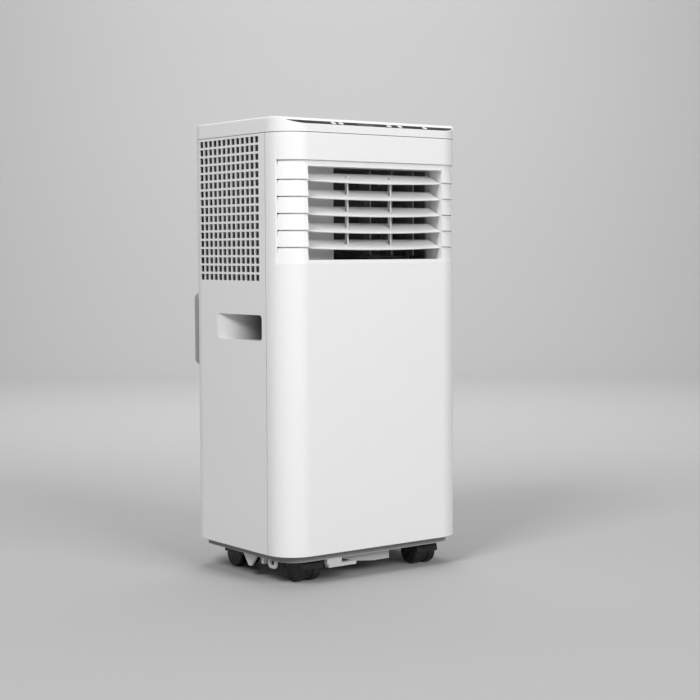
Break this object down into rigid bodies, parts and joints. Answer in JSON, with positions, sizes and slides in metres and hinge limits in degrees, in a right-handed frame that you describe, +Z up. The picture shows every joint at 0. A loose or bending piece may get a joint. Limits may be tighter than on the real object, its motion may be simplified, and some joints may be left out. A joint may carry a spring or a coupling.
{
  "type": "portable air conditioner",
  "caption": "Compact white portable air conditioner on twin-wheel castors, with a louvred front outlet, side grilles, handles and a rear hose collar.",
  "frame": {"origin": "on the floor, under the middle of the whole machine with its rear fittings", "axes": "+Z up, +Y from the front (louvres) to the back, +X to the right of someone facing the front"},
  "size_m": [0.346, 0.29, 0.694],
  "materials": {
    "white_shell": "fine satin",
    "gloss_black": "gloss",
    "display_glass": "gloss",
    "grey_plastic": "satin",
    "button_caps": "satin",
    "louvre_plastic": "satin",
    "castor_black": "satin",
    "pan_plastic": "matte",
    "rubber_parts": "matte",
    "zinc_steel": "plated",
    "coil_fins": "bare",
    "copper_pipe": "bare",
    "painted_can": "semi gloss",
    "fan_plastic": "matte",
    "filter_net": "fine mesh",
    "board": "solder resist"
  },
  "bodies": {
    "casing": {"air_duct": "louvre_plastic", "base_pan": "pan_plastic", "blower_housing": "pan_plastic", "blower_motor": "painted_can", "case_screws": "zinc_steel", "castor_sockets": "zinc_steel", "chamber_deck": "pan_plastic", "compressor": "painted_can", "compressor_mounts": "rubber_parts", "condenser_coil": "coil_fins", "control_board": "board", "control_panel": "gloss_black", "cord_gland": "rubber_parts", "cord_winder": "grey_plastic", "display_window": "display_glass", "drain_plugs": "rubber_parts", "drip_tray": "pan_plastic", "electrics_box": "pan_plastic", "evaporator_coil": "coil_fins", "exhaust_collar": "white_shell", "exhaust_fan_housing": "pan_plastic", "exhaust_fan_motor": "painted_can", "exhaust_guard": "white_shell", "front_shell": "white_shell", "handle_pocket_left": "white_shell", "handle_pocket_right": "white_shell", "intake_grille": "white_shell", "louvre_bezel": "white_shell", "rear_housing": "white_shell", "refrigerant_pipes": "copper_pipe", "side_grille_left": "white_shell", "side_grille_right": "white_shell", "top_lid": "white_shell"},
    "button_1": {"button_1": "button_caps"},
    "button_2": {"button_2": "button_caps"},
    "button_3": {"button_3": "button_caps"},
    "button_4": {"button_4": "button_caps"},
    "button_5": {"button_5": "button_caps"},
    "louvre_blade_1": {"louvre_blade_1": "louvre_plastic"},
    "louvre_blade_2": {"louvre_blade_2": "louvre_plastic"},
    "louvre_blade_3": {"louvre_blade_3": "louvre_plastic"},
    "louvre_blade_4": {"louvre_blade_4": "louvre_plastic"},
    "louvre_blade_5": {"louvre_blade_5": "louvre_plastic"},
    "louvre_link": {"louvre_link": "louvre_plastic"},
    "vane_1": {"vane_1": "louvre_plastic"},
    "vane_2": {"vane_2": "louvre_plastic"},
    "vane_3": {"vane_3": "louvre_plastic"},
    "vane_link": {"vane_link": "louvre_plastic"},
    "castor_front_left_yoke": {"castor_front_left_yoke": "castor_black"},
    "castor_front_left_wheels": {"castor_front_left_wheels": "castor_black"},
    "castor_front_right_yoke": {"castor_front_right_yoke": "castor_black"},
    "castor_front_right_wheels": {"castor_front_right_wheels": "castor_black"},
    "castor_rear_left_yoke": {"castor_rear_left_yoke": "castor_black"},
    "castor_rear_left_wheels": {"castor_rear_left_wheels": "castor_black"},
    "castor_rear_right_yoke": {"castor_rear_right_yoke": "castor_black"},
    "castor_rear_right_wheels": {"castor_rear_right_wheels": "castor_black"},
    "blower_wheel": {"blower_wheel": "fan_plastic"},
    "exhaust_fan_wheel": {"exhaust_fan_wheel": "fan_plastic"},
    "filter": {"filter_frame": "white_shell", "filter_mesh": "filter_net"}
  },
  "joints": [
    {"name": "button_1_press", "type": "slide", "parent": "casing", "child": "button_1", "axis": [0, 0.3896, -0.921], "range_m": [0, 0.0008], "stiffness_N_per_m": 300},
    {"name": "button_2_press", "type": "slide", "parent": "casing", "child": "button_2", "axis": [0, 0.3896, -0.921], "range_m": [0, 0.0008], "stiffness_N_per_m": 300},
    {"name": "button_3_press", "type": "slide", "parent": "casing", "child": "button_3", "axis": [0, 0.3896, -0.921], "range_m": [0, 0.0008], "stiffness_N_per_m": 300},
    {"name": "button_4_press", "type": "slide", "parent": "casing", "child": "button_4", "axis": [0, 0.3896, -0.921], "range_m": [0, 0.0008], "stiffness_N_per_m": 300},
    {"name": "button_5_press", "type": "slide", "parent": "casing", "child": "button_5", "axis": [0, 0.3896, -0.921], "range_m": [0, 0.0008], "stiffness_N_per_m": 300},
    {"name": "louvre_blade_1_tilt", "type": "hinge", "parent": "casing", "child": "louvre_blade_1", "pos_m": [0, -0.119, 0.60959], "axis": [1, 0, 0], "range_deg": [-40, 20]},
    {"name": "louvre_blade_2_tilt", "type": "hinge", "parent": "casing", "child": "louvre_blade_2", "pos_m": [0, -0.119, 0.58484], "axis": [1, 0, 0], "range_deg": [-40, 20]},
    {"name": "louvre_blade_3_tilt", "type": "hinge", "parent": "casing", "child": "louvre_blade_3", "pos_m": [0, -0.119, 0.56009], "axis": [1, 0, 0], "range_deg": [-40, 20]},
    {"name": "louvre_blade_4_tilt", "type": "hinge", "parent": "casing", "child": "louvre_blade_4", "pos_m": [0, -0.119, 0.53534], "axis": [1, 0, 0], "range_deg": [-40, 20]},
    {"name": "louvre_blade_5_tilt", "type": "hinge", "parent": "casing", "child": "louvre_blade_5", "pos_m": [0, -0.119, 0.51059], "axis": [1, 0, 0], "range_deg": [-40, 20]},
    {"name": "louvre_link_swing", "type": "hinge", "parent": "louvre_blade_1", "child": "louvre_link", "pos_m": [0, -0.12806, 0.60537], "axis": [1, 0, 0], "range_deg": [-20, 40]},
    {"name": "vane_1_turn", "type": "hinge", "parent": "casing", "child": "vane_1", "pos_m": [0.019, -0.088, 0.5534], "axis": [0, 0, 1], "range_deg": [-40, 40]},
    {"name": "vane_2_turn", "type": "hinge", "parent": "casing", "child": "vane_2", "pos_m": [0.061, -0.088, 0.5534], "axis": [0, 0, 1], "range_deg": [-40, 40]},
    {"name": "vane_3_turn", "type": "hinge", "parent": "casing", "child": "vane_3", "pos_m": [0.104, -0.088, 0.5534], "axis": [0, 0, 1], "range_deg": [-40, 40]},
    {"name": "vane_link_swing", "type": "hinge", "parent": "vane_1", "child": "vane_link", "pos_m": [0.019, -0.079, 0.4868], "axis": [0, 0, 1], "range_deg": [-40, 40]},
    {"name": "castor_front_left_swivel", "type": "hinge", "parent": "casing", "child": "castor_front_left_yoke", "pos_m": [-0.107, -0.085, 0.052], "axis": [0, 0, 1], "continuous": true},
    {"name": "castor_front_left_roll", "type": "hinge", "parent": "castor_front_left_yoke", "child": "castor_front_left_wheels", "pos_m": [-0.1077, -0.09498, 0.0215], "axis": [-0.9976, 0.0698, 0], "continuous": true},
    {"name": "castor_front_right_swivel", "type": "hinge", "parent": "casing", "child": "castor_front_right_yoke", "pos_m": [0.118, -0.085, 0.052], "axis": [0, 0, 1], "continuous": true},
    {"name": "castor_front_right_roll", "type": "hinge", "parent": "castor_front_right_yoke", "child": "castor_front_right_wheels", "pos_m": [0.1173, -0.09498, 0.0215], "axis": [-0.9976, 0.0698, 0], "continuous": true},
    {"name": "castor_rear_left_swivel", "type": "hinge", "parent": "casing", "child": "castor_rear_left_yoke", "pos_m": [-0.113, 0.049, 0.052], "axis": [0, 0, 1], "continuous": true},
    {"name": "castor_rear_left_roll", "type": "hinge", "parent": "castor_rear_left_yoke", "child": "castor_rear_left_wheels", "pos_m": [-0.113, 0.059, 0.0215], "axis": [1, 0, 0], "continuous": true},
    {"name": "castor_rear_right_swivel", "type": "hinge", "parent": "casing", "child": "castor_rear_right_yoke", "pos_m": [0.113, 0.049, 0.052], "axis": [0, 0, 1], "continuous": true},
    {"name": "castor_rear_right_roll", "type": "hinge", "parent": "castor_rear_right_yoke", "child": "castor_rear_right_wheels", "pos_m": [0.113, 0.059, 0.0215], "axis": [1, 0, 0], "continuous": true},
    {"name": "blower_spin", "type": "hinge", "parent": "casing", "child": "blower_wheel", "pos_m": [0.014, -0.053, 0.552], "axis": [0, 1, 0], "continuous": true},
    {"name": "exhaust_fan_spin", "type": "hinge", "parent": "casing", "child": "exhaust_fan_wheel", "pos_m": [0.022, 0.061, 0.344], "axis": [0, 1, 0], "continuous": true},
    {"name": "filter_pull", "type": "slide", "parent": "casing", "child": "filter", "axis": [0, 1, 0], "range_m": [0, 0.03]}
  ],
  "couplings": [
    {"joint": "louvre_blade_2_tilt", "follows": "louvre_blade_1_tilt", "ratio": 1},
    {"joint": "louvre_blade_3_tilt", "follows": "louvre_blade_1_tilt", "ratio": 1},
    {"joint": "louvre_blade_4_tilt", "follows": "louvre_blade_1_tilt", "ratio": 1},
    {"joint": "louvre_blade_5_tilt", "follows": "louvre_blade_1_tilt", "ratio": 1},
    {"joint": "louvre_link_swing", "follows": "louvre_blade_1_tilt", "ratio": -1},
    {"joint": "vane_2_turn", "follows": "vane_1_turn", "ratio": 1},
    {"joint": "vane_3_turn", "follows": "vane_1_turn", "ratio": 1},
    {"joint": "vane_link_swing", "follows": "vane_1_turn", "ratio": -1}
  ]
}
